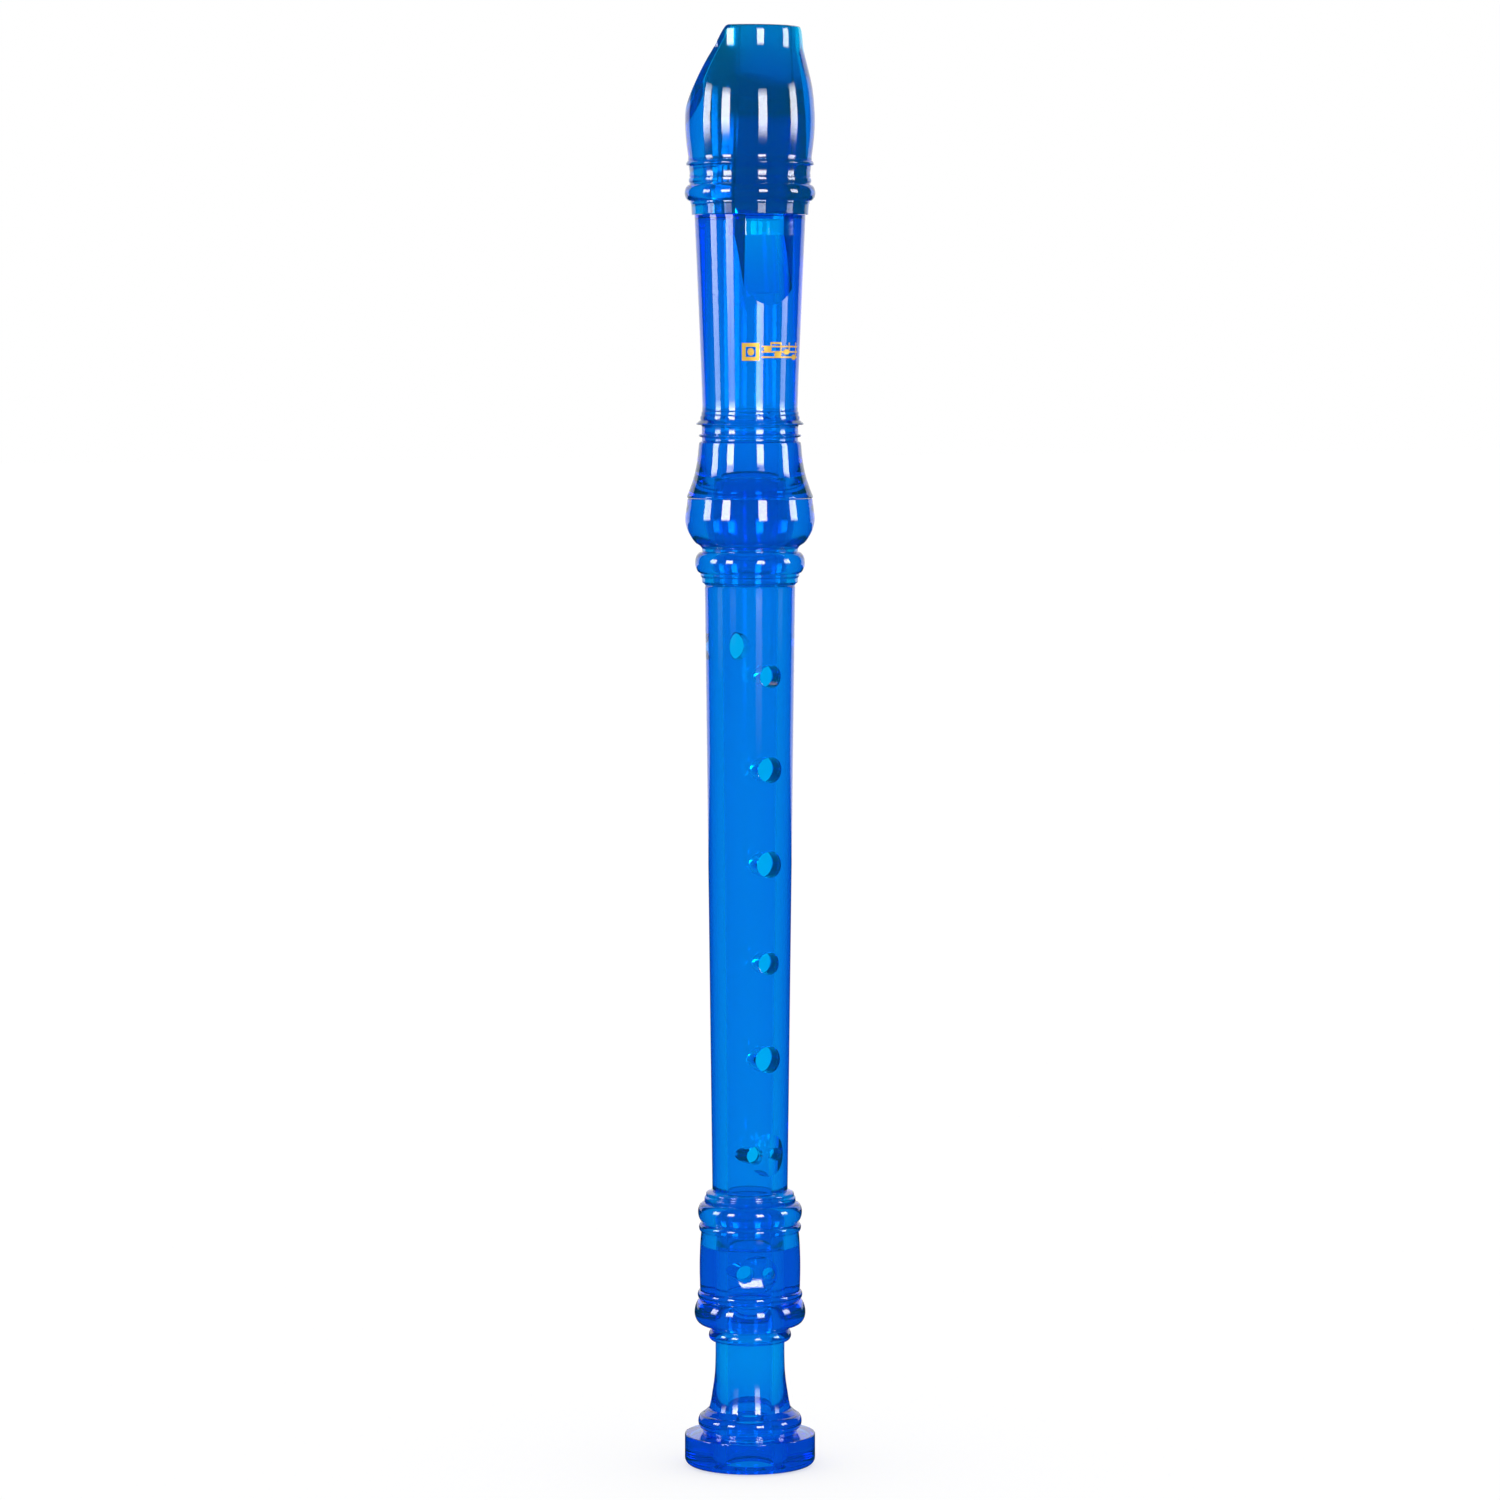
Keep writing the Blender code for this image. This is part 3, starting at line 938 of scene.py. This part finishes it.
        tube.shaped([windway.tool("spigot_notch", PAST_SIDES, PAST_FRONT, windway.roof - SEAM,
                                  windway.top - SEAM)])
        return tube.shaped([windway.window(self.bore_end, self.wall_depth)])

    def ring(self) -> Solid:
        """Bulb over the sleeve, with the mouth of the socket below.

        Returns:
            The solid.
        """
        line = (Outline().to((14.1, self.lip - 0.25))
                .curve((14.28, self.lip - 0.35), (14.42, 221.8), (14.62, 220.4), (14.83, 218.4),
                       (14.66, 217.0), (14.23, 215.6), (13.46, 214.2), (12.99, 213.5),
                       (12.39, 212.85), (11.43, 212.2), (11.0, 211.6), spans=4)
                .to((10.98, 211.05))
                .bead(210.9, 206.0, 10.98, 12.58, 11.33, spans=14)
                .to((11.33, 205.3), (11.02, 205.0), (11.0, 203.95), (10.75, 203.75),
                    (10.42, 203.5), (10.4, self.foot), (self.socket + 0.2, self.foot),
                    (self.socket, self.foot + 0.4), (self.socket, 212.9),
                    (self.sleeve + SEAM, 212.9), (self.sleeve + SEAM, self.lip - 0.25)))
        return Solid.turned("ring", line.to(line.points[0]).eased(self.easing)[:-1])


# ------------------------------------------------------------------ body joint

@dataclass
class ToneHole:
    """One hole in the body joint.

    Attributes:
        name: which finger it is for.
        height: height of its centre.
        width: its diameter.
        facing: 1 in front and -1 behind.
    """

    name: str
    height: float
    width: float
    facing: int = 1


@dataclass
class BodyJoint:
    """Tapered tube with a tenon at each end.

    Attributes:
        top: height of the upper tenon's end.
        shoulder: height of the shoulder under the head joint.
        foot: height of the shoulder above the foot joint.
        bottom: height of the lower tenon's end.
        tenon: radius of the upper tenon.
        lower_tenon: radius of the lower tenon.
        upper_taper: (radius, height) near the top of the taper.
        lower_taper: (radius, height) near its foot.
        bore: radius of the bore at the top and at the bottom.
        holes: its six single holes.
        pair: height of the sixth finger's pair of holes.
        dish_floor: depth of the middle of the hollow round the pair.
        dish_sweep: radius of the hollow's arc up and down.
        dish_spread: half the width and half the height of the tool that cuts it.
        easing: how far from a corner its rounding starts.
    """

    top: float = 227.2
    shoulder: float = 203.1
    foot: float = 63.75
    bottom: float = 50.6
    tenon: float = 8.4
    lower_tenon: float = 7.9
    upper_taper: Point = (10.30, 199.8)
    lower_taper: Point = (8.67, 64.2)
    bore: Point = (6.6, 5.0)
    holes: tuple[ToneHole, ...] = (
        ToneHole("thumb", 189.0, 6.1, -1), ToneHole("first", 182.7, 5.1),
        ToneHole("second", 161.4, 5.8), ToneHole("third", 139.7, 5.95),
        ToneHole("fourth", 117.0, 4.95), ToneHole("fifth", 94.9, 6.0))
    pair: float = 72.8
    dish_floor: float = 7.3
    dish_sweep: float = 9.0
    dish_spread: Point = (5.6, 5.9)
    easing: float = 0.12

    def build(self, plastic: bpy.types.Material) -> None:
        """Makes the moulding.

        Args:
            plastic: what it is made of.
        """
        line = (Outline().to((self.tenon - 0.5, self.top), (self.tenon, self.top - 0.7),
                             (self.tenon, 204.2), (self.tenon - 0.25, 203.9),
                             (self.tenon - 0.25, self.shoulder), (10.2, self.shoulder),
                             (10.36, self.shoulder - 0.3), self.upper_taper, self.lower_taper,
                             (8.6, self.foot), (self.lower_tenon, self.foot),
                             (self.lower_tenon, self.bottom + 0.7),
                             (self.lower_tenon - 0.5, self.bottom),
                             (self.bore[1], self.bottom), (self.bore[0], self.top)))
        tube = Solid.turned("body_tube", line.to(line.points[0]).eased(self.easing)[:-1])
        outside = cone_front(self.upper_taper, self.lower_taper)
        tools = [dished("sixth_dish", self.pair, self.dish_floor, self.dish_sweep,
                        self.dish_spread),
                 *finger_pair(self.pair, self.dish_floor)]
        tools += [pierced(hole.name, 0.0, hole.height, hole.width / 2, 0.28, outside, hole.facing)
                  for hole in self.holes]
        for tool in tools:
            tube.shaped([tool])
        tube.finish(plastic, Body.MIDDLE, Slot.CLEAR, "body_joint")


def finger_pair(height: float, floor: float) -> list[Solid]:
    """Tools for the large and the small hole of a pair.

    Args:
        height: height of both centres.
        floor: radius about the bore's axis of the floor they open in.

    Returns:
        The two tools.
    """
    surface = cone_front((floor, height + 1), (floor, height - 1))
    return [pierced("large_hole", -2.7, height, 1.95, 0.2, surface),
            pierced("small_hole", 2.7, height, 1.35, 0.2, surface)]


# ------------------------------------------------------------------ foot joint

@dataclass
class FootJoint:
    """Foot with its socket, the little finger's pair of holes and the bell.

    Attributes:
        top: height of its upper end.
        socket: radius of its socket.
        socket_end: height of the socket's floor.
        bore: radius of the bore.
        pair: height of the pair of holes.
        dish_floor: depth of the middle of the hollow round the pair.
        dish_sweep: radius of the hollow's arc up and down.
        dish_spread: half the width and half the height of the tool that cuts it.
        easing: how far from a corner its rounding starts.
    """

    top: float = 63.65
    socket: float = 8.0
    socket_end: float = 50.5
    bore: float = 5.2
    pair: float = 45.8
    dish_floor: float = 10.4
    dish_sweep: float = 9.0
    dish_spread: Point = (5.6, 5.6)
    easing: float = 0.12

    def build(self, plastic: bpy.types.Material) -> None:
        """Makes the moulding.

        Args:
            plastic: what it is made of.
        """
        line = (Outline().to((8.75, self.top), (9.2, 63.5))
                .bead(63.35, 62.35, 9.75, 10.12, 10.3, spans=10)
                .to((10.48, 62.1), (10.5, 61.15))
                .bead(60.95, 56.6, 10.5, 11.98, 11.0, spans=14)
                .bead(56.2, 54.25, 11.02, 11.76, 11.25, spans=12)
                .curve((11.24, 54.1), (11.43, 52.0), (11.58, 48.6), (11.62, 46.2),
                       (11.60, 43.9), (11.5, 40.65), spans=4)
                .bead(40.5, 38.65, 11.5, 12.07, 11.55, spans=12)
                .bead(38.5, 32.4, 11.5, 12.80, 9.9, spans=18)
                .curve((9.5, 32.1), (8.98, 31.85), (8.85, 31.55), spans=4)
                .bead(31.4, 28.75, 8.85, 9.5, 8.0, spans=12)
                .curve((7.96, 28.4), (7.95, 26.5), (7.97, 24.5), (8.07, 21.75), (8.29, 19.4),
                       (8.64, 17.1), (9.02, 14.7), (9.42, 13.0), spans=4)
                .curve((9.85, 12.72), (10.25, 12.35), (10.75, 11.85), spans=3)
                .bead(11.8, 8.3, 10.75, 11.95, 10.9, spans=14)
                .to((10.85, 7.5), (12.0, 7.32), (14.85, 7.22))
                .curve((14.98, 7.16), (15.05, 7.0), (15.05, 6.6), spans=3)
                .arc((13.45, 1.6), 1.6, 0, -90)
                .to((6.4, 0.0), (5.6, 0.8), (self.bore, 12.0),
                    (self.bore, self.socket_end), (self.socket, self.socket_end),
                    (self.socket, self.top - 0.3), (self.socket + 0.3, self.top)))
        foot = Solid.turned("foot", line.to(line.points[0]).eased(self.easing)[:-1])
        foot.shaped([dished("seventh_dish", self.pair, self.dish_floor, self.dish_sweep,
                            self.dish_spread)])
        for tool in finger_pair(self.pair, self.dish_floor):
            foot.shaped([tool])
        foot.finish(plastic, Body.FOOT, Slot.CLEAR, "foot_joint", FOOT_TURN)


# ------------------------------------------------------------------ foil mark

@dataclass
class FoilMark:
    """A square emblem and a few notes on a stave, stamped in foil on the head tube.

    Attributes:
        middle: degrees its middle stands to the right of the head's front.
        length: its length round the tube.
        height: height of the stave's middle line.
        emblem: side of the square at its left end.
        gap: distance between two lines.
        line: thickness of a line.
        radius: radius of the tube there.
        flare: what the radius gains for each millimetre up the tube.
    """

    middle: float = 6.9
    length: float = 15.6
    height: float = 256.4
    emblem: float = 4.0
    gap: float = 1.2
    line: float = 0.34
    radius: float = 11.33
    flare: float = 0.0399

    def build(self, foil: bpy.types.Material) -> None:
        """Stamps the emblem, the stave and its notes.

        Args:
            foil: what they are made of.
        """
        shape = bmesh.new()
        half = self.length / 2
        edge, band = self.emblem, 0.85
        for low in (-edge / 2, edge / 2 - band):
            self.patch(shape, -half, edge - half, low, low + band, 0.02)
        for left in (-half, edge - half - band):
            self.patch(shape, left, left + band, -edge / 2, edge / 2, 0.03)
        self.blot(shape, (edge / 2 - half, 0.0), (0.75, 0.85), 0.04)
        for row in range(-1, 2):
            self.patch(shape, edge - half + 0.5, half, row * self.gap - self.line / 2,
                       row * self.gap + self.line / 2, 0.02)
        for along, step in ((-1.9, 1), (0.7, -1), (3.3, 0), (6.1, -2)):
            self.note(shape, along, step * self.gap / 2, 2.1)
        self.patch(shape, -1.2, 1.55, 1.75, 2.2, 0.04)
        mark = Solid("foil_stave", shape)
        mark.finish(foil, Body.HEAD, turn=HEAD_TURN)

    def wrapped(self, along: float, up: float, above: float) -> Vector:
        """A place on the tube.

        Args:
            along: distance round the tube to the right of the mark's middle.
            up: distance above the stave's middle line.
            above: distance off the plastic.

        Returns:
            The place in metres.
        """
        turn = math.radians(self.middle) + along / self.radius
        out = self.radius + up * self.flare + above
        return Vector((out * math.sin(turn), -out * math.cos(turn), self.height + up)) * MM

    def patch(self, shape: bmesh.types.BMesh, left: float, right: float, low: float,
              high: float, above: float) -> None:
        """Adds a thin rectangle that follows the tube.

        Args:
            shape: mesh it goes in.
            left: where it starts.
            right: where it ends.
            low: its lower edge.
            high: its upper edge.
            above: distance of its face off the plastic.
        """
        steps = max(1, round((right - left) / 0.4))
        edge = [(left + (right - left) * i / steps, low) for i in range(steps + 1)]
        edge += [(x, high) for x, _ in reversed(edge)]
        self.leaf(shape, edge, above)

    def leaf(self, shape: bmesh.types.BMesh, edge: Sequence[Point], above: float) -> None:
        """Adds one closed leaf of foil.

        Args:
            shape: mesh it goes in.
            edge: its outline, the lower half from left to right and the upper half back.
            above: distance of its face off the plastic.
        """
        face = [shape.verts.new(self.wrapped(*point, above + 0.03)) for point in edge]
        back = [shape.verts.new(self.wrapped(*point, 0.008)) for point in edge]
        count = len(edge)
        for i in range(count // 2 - 1):
            j = count - 1 - i
            shape.faces.new((face[i], face[i + 1], face[j - 1], face[j]))
            shape.faces.new((back[j], back[j - 1], back[i + 1], back[i]))
        for i in range(count):
            j = (i + 1) % count
            shape.faces.new((back[i], back[j], face[j], face[i]))

    def blot(self, shape: bmesh.types.BMesh, centre: Point, spread: Point,
             above: float) -> None:
        """Adds an oval.

        Args:
            shape: mesh it goes in.
            centre: where it stands, along and up.
            spread: half its length and half its height.
            above: distance of its face off the plastic.
        """
        (along, up), (wide, tall) = centre, spread
        lower = [(along + wide * math.cos(t), up + tall * math.sin(t))
                 for t in (math.pi + math.pi * i / 12 for i in range(13))]
        upper = [(x, 2 * up - y + (0.0 if 0 < i < 12 else 0.02))
                 for i, (x, y) in enumerate(lower)]
        self.leaf(shape, lower + list(reversed(upper)), above)

    def note(self, shape: bmesh.types.BMesh, along: float, up: float, stem: float) -> None:
        """Adds a note.

        Args:
            shape: mesh it goes in.
            along: where its head stands.
            up: height of its head above the middle line.
            stem: height of its stem's end above the middle line.
        """
        self.blot(shape, (along, up), (0.95, 0.62), 0.05)
        self.patch(shape, along + 0.65, along + 0.95, up, stem, 0.045)


# ------------------------------------------------------------------ studio

@dataclass
class Softbox:
    """A tall light whose brightness fades out at its lower end.

    Attributes:
        name: where it stands.
        side: degrees to the right of the camera, seen from the recorder.
        width: its width in metres.
        low: height of its lower edge in metres.
        high: height of its upper edge in metres.
        power: brightness of its middle.
        reach: its distance from the recorder in metres.
    """

    name: str
    side: float
    width: float = 0.33
    low: float = 0.13
    high: float = 0.70
    power: float = 22.0
    reach: float = 1.2

    def build(self) -> None:
        """Makes the light as a glowing panel that faces the recorder."""
        turn = math.radians(CAMERA_AZIMUTH + self.side)
        out = Vector((math.sin(turn), -math.cos(turn), 0.0))
        across = Vector((0.0, 0.0, 1.0)).cross(out) * self.width / 2
        mesh = bpy.data.meshes.new(self.name)
        mesh.from_pydata([out * self.reach + across * s + Vector((0.0, 0.0, z))
                          for s, z in ((-1, self.low), (1, self.low), (1, self.high),
                                       (-1, self.high))], [], [(0, 1, 2, 3)])
        panel = bpy.data.objects.new(self.name, mesh)
        bpy.context.scene.collection.objects.link(panel)
        panel.data.materials.append(self.glow())
        panel.visible_camera = False
        panel.visible_diffuse = False
        panel.visible_shadow = False
        LOG.info("%s: %.0f degrees from the camera", self.name, self.side)

    def glow(self) -> bpy.types.Material:
        """Light that fades out downwards over its lower third, and a little at its top.

        Returns:
            The light's material.
        """
        made = bpy.data.materials.new(self.name)
        wiring = Wiring(made)
        spot = wiring.add("TexCoord", output="Generated")
        up = wiring.add("SeparateXYZ", None, {"Vector": spot}, "Z")
        level = wiring.add("ValToRGB", {"stops": (
            (0.0, (0.0, 0.0, 0.0, 1.0)), (0.09, (0.06, 0.06, 0.06, 1.0)),
            (0.2, (0.5, 0.5, 0.5, 1.0)), (0.36, (1.0, 1.0, 1.0, 1.0)),
            (0.8, (1.0, 1.0, 1.0, 1.0)), (1.0, (0.2, 0.2, 0.2, 1.0)))}, {"Fac": up})
        light = wiring.add("Emission", None, {"Color": level, "Strength": self.power})
        wiring.add("OutputMaterial", None, {"Surface": light})
        return made


@dataclass
class Studio:
    """White sweep, tall softboxes and the camera.

    Attributes:
        distance: metres from the bore's axis to the camera, level with the floor.
        camera_height: height of the camera in metres.
        aim: height on the bore's axis that it looks at, in metres.
        lens: focal length in millimetres.
    """

    distance: float = 1.241
    camera_height: float = 0.2536
    aim: float = 0.1654
    lens: float = 130.25

    def build(self) -> None:
        """Sets up the light, the floor and the camera."""
        self.world()
        self.floor()
        self.backdrop()
        for box in (Softbox("far_left_softbox", -83.0, low=0.09, power=13.0),
                    Softbox("left_softbox", -44.0, low=0.10, power=19.0),
                    Softbox("right_softbox", 23.0, low=0.05, power=18.0),
                    Softbox("far_right_softbox", 85.0, low=0.10, power=13.0)):
            box.build()
        self.camera()

    def world(self) -> None:
        """White room, which the recorder's polish doesn't mirror."""
        world = bpy.data.worlds.new("white_room")
        bpy.context.scene.world = world
        wiring = Wiring(world)
        light = wiring.add("Background", None, {"Color": (1.0, 1.0, 1.0, 1.0), "Strength": 1.0})
        wiring.add("OutputWorld", None, {"Surface": light})
        world.cycles_visibility.glossy = False

    def staged(self, name: str, mesh: bpy.types.Mesh, base: float, glow: float,
               hidden: Sequence[str] = ()) -> None:
        """Puts a matt sheet in the studio.

        Args:
            name: name of the object.
            mesh: its mesh.
            base: how much light it gives back.
            glow: how much light it gives of its own.
            hidden: kinds of light ray that don't meet it.
        """
        sheet = bpy.data.objects.new(name, mesh)
        bpy.context.scene.collection.objects.link(sheet)
        made = bpy.data.materials.new(name)
        wiring = Wiring(made)
        skin = wiring.add("BsdfPrincipled", None, {
            "Base Color": (base, base, base, 1.0), "Roughness": 1.0, "Specular IOR Level": 0.0,
            "Emission Color": (1.0, 1.0, 1.0, 1.0), "Emission Strength": glow})
        wiring.add("OutputMaterial", None, {"Surface": skin})
        mesh.materials.append(made)
        for kind in hidden:
            setattr(sheet, "visible_" + kind, False)

    def floor(self) -> None:
        """Pale floor, lit to the same white as the room."""
        half, level = 12.0, -0.0002
        mesh = bpy.data.meshes.new("floor")
        mesh.from_pydata([(-half, -half, level), (half, -half, level), (half, half, level),
                          (-half, half, level)], [], [(0, 1, 2, 3)])
        self.staged("floor", mesh, base=0.4, glow=0.615, hidden=("glossy",))

    def backdrop(self) -> None:
        """Lit backdrop behind the recorder that only its edges mirror."""
        turn = math.radians(CAMERA_AZIMUTH)
        away = Vector((-math.sin(turn), math.cos(turn), 0.0)) * 1.5
        across = Vector((math.cos(turn), math.sin(turn), 0.0)) * 1.4
        up = Vector((0.0, 0.0, 1.5))
        mesh = bpy.data.meshes.new("backdrop")
        mesh.from_pydata([away - across, away + across, away + across + up, away - across + up],
                         [], [(0, 1, 2, 3)])
        self.staged("backdrop", mesh, base=0.0, glow=1.0,
                    hidden=("camera", "diffuse", "transmission", "shadow"))

    def camera(self) -> None:
        """Puts the camera in front of the recorder, a little to its left."""
        data = bpy.data.cameras.new("camera")
        data.sensor_width = 36.0
        data.lens = self.lens
        data.clip_start = 0.05
        data.clip_end = 60.0
        camera = bpy.data.objects.new("camera", data)
        bpy.context.scene.collection.objects.link(camera)
        turn = math.radians(CAMERA_AZIMUTH)
        camera.location = (self.distance * math.sin(turn), -self.distance * math.cos(turn),
                           self.camera_height)
        look = Vector((0.0, 0.0, self.aim)) - camera.location
        camera.rotation_euler = look.to_track_quat('-Z', 'Y').to_euler()
        bpy.context.scene.camera = camera


def set_light_paths() -> None:
    """Lets light cross every wall of nested tubes and keeps the colours plain."""
    scene = bpy.context.scene
    scene.view_settings.view_transform = 'Standard'
    scene.cycles.max_bounces = 32
    scene.cycles.transmission_bounces = 32
    scene.cycles.glossy_bounces = 12


def main() -> None:
    """Builds the recorder from the beak down, then its studio."""
    logging.basicConfig(level=logging.INFO, format="%(name)s: %(message)s")
    plastic = ClearPlastic("clear_blue_plastic").material()
    block = ClearPlastic("satin_block_plastic", tint=(0.02, 0.33, 0.53), clarity=0.92,
                         absorbed=(1500.0, 125.0, 34.0), polish=0.14, haze=0.1).material()
    HeadJoint().build(plastic, block)
    FoilMark().build(GoldFoil("gold_foil").material())
    BodyJoint().build(plastic)
    FootJoint().build(plastic)
    Studio().build()
    set_light_paths()


if __name__ == "__main__":
    main()
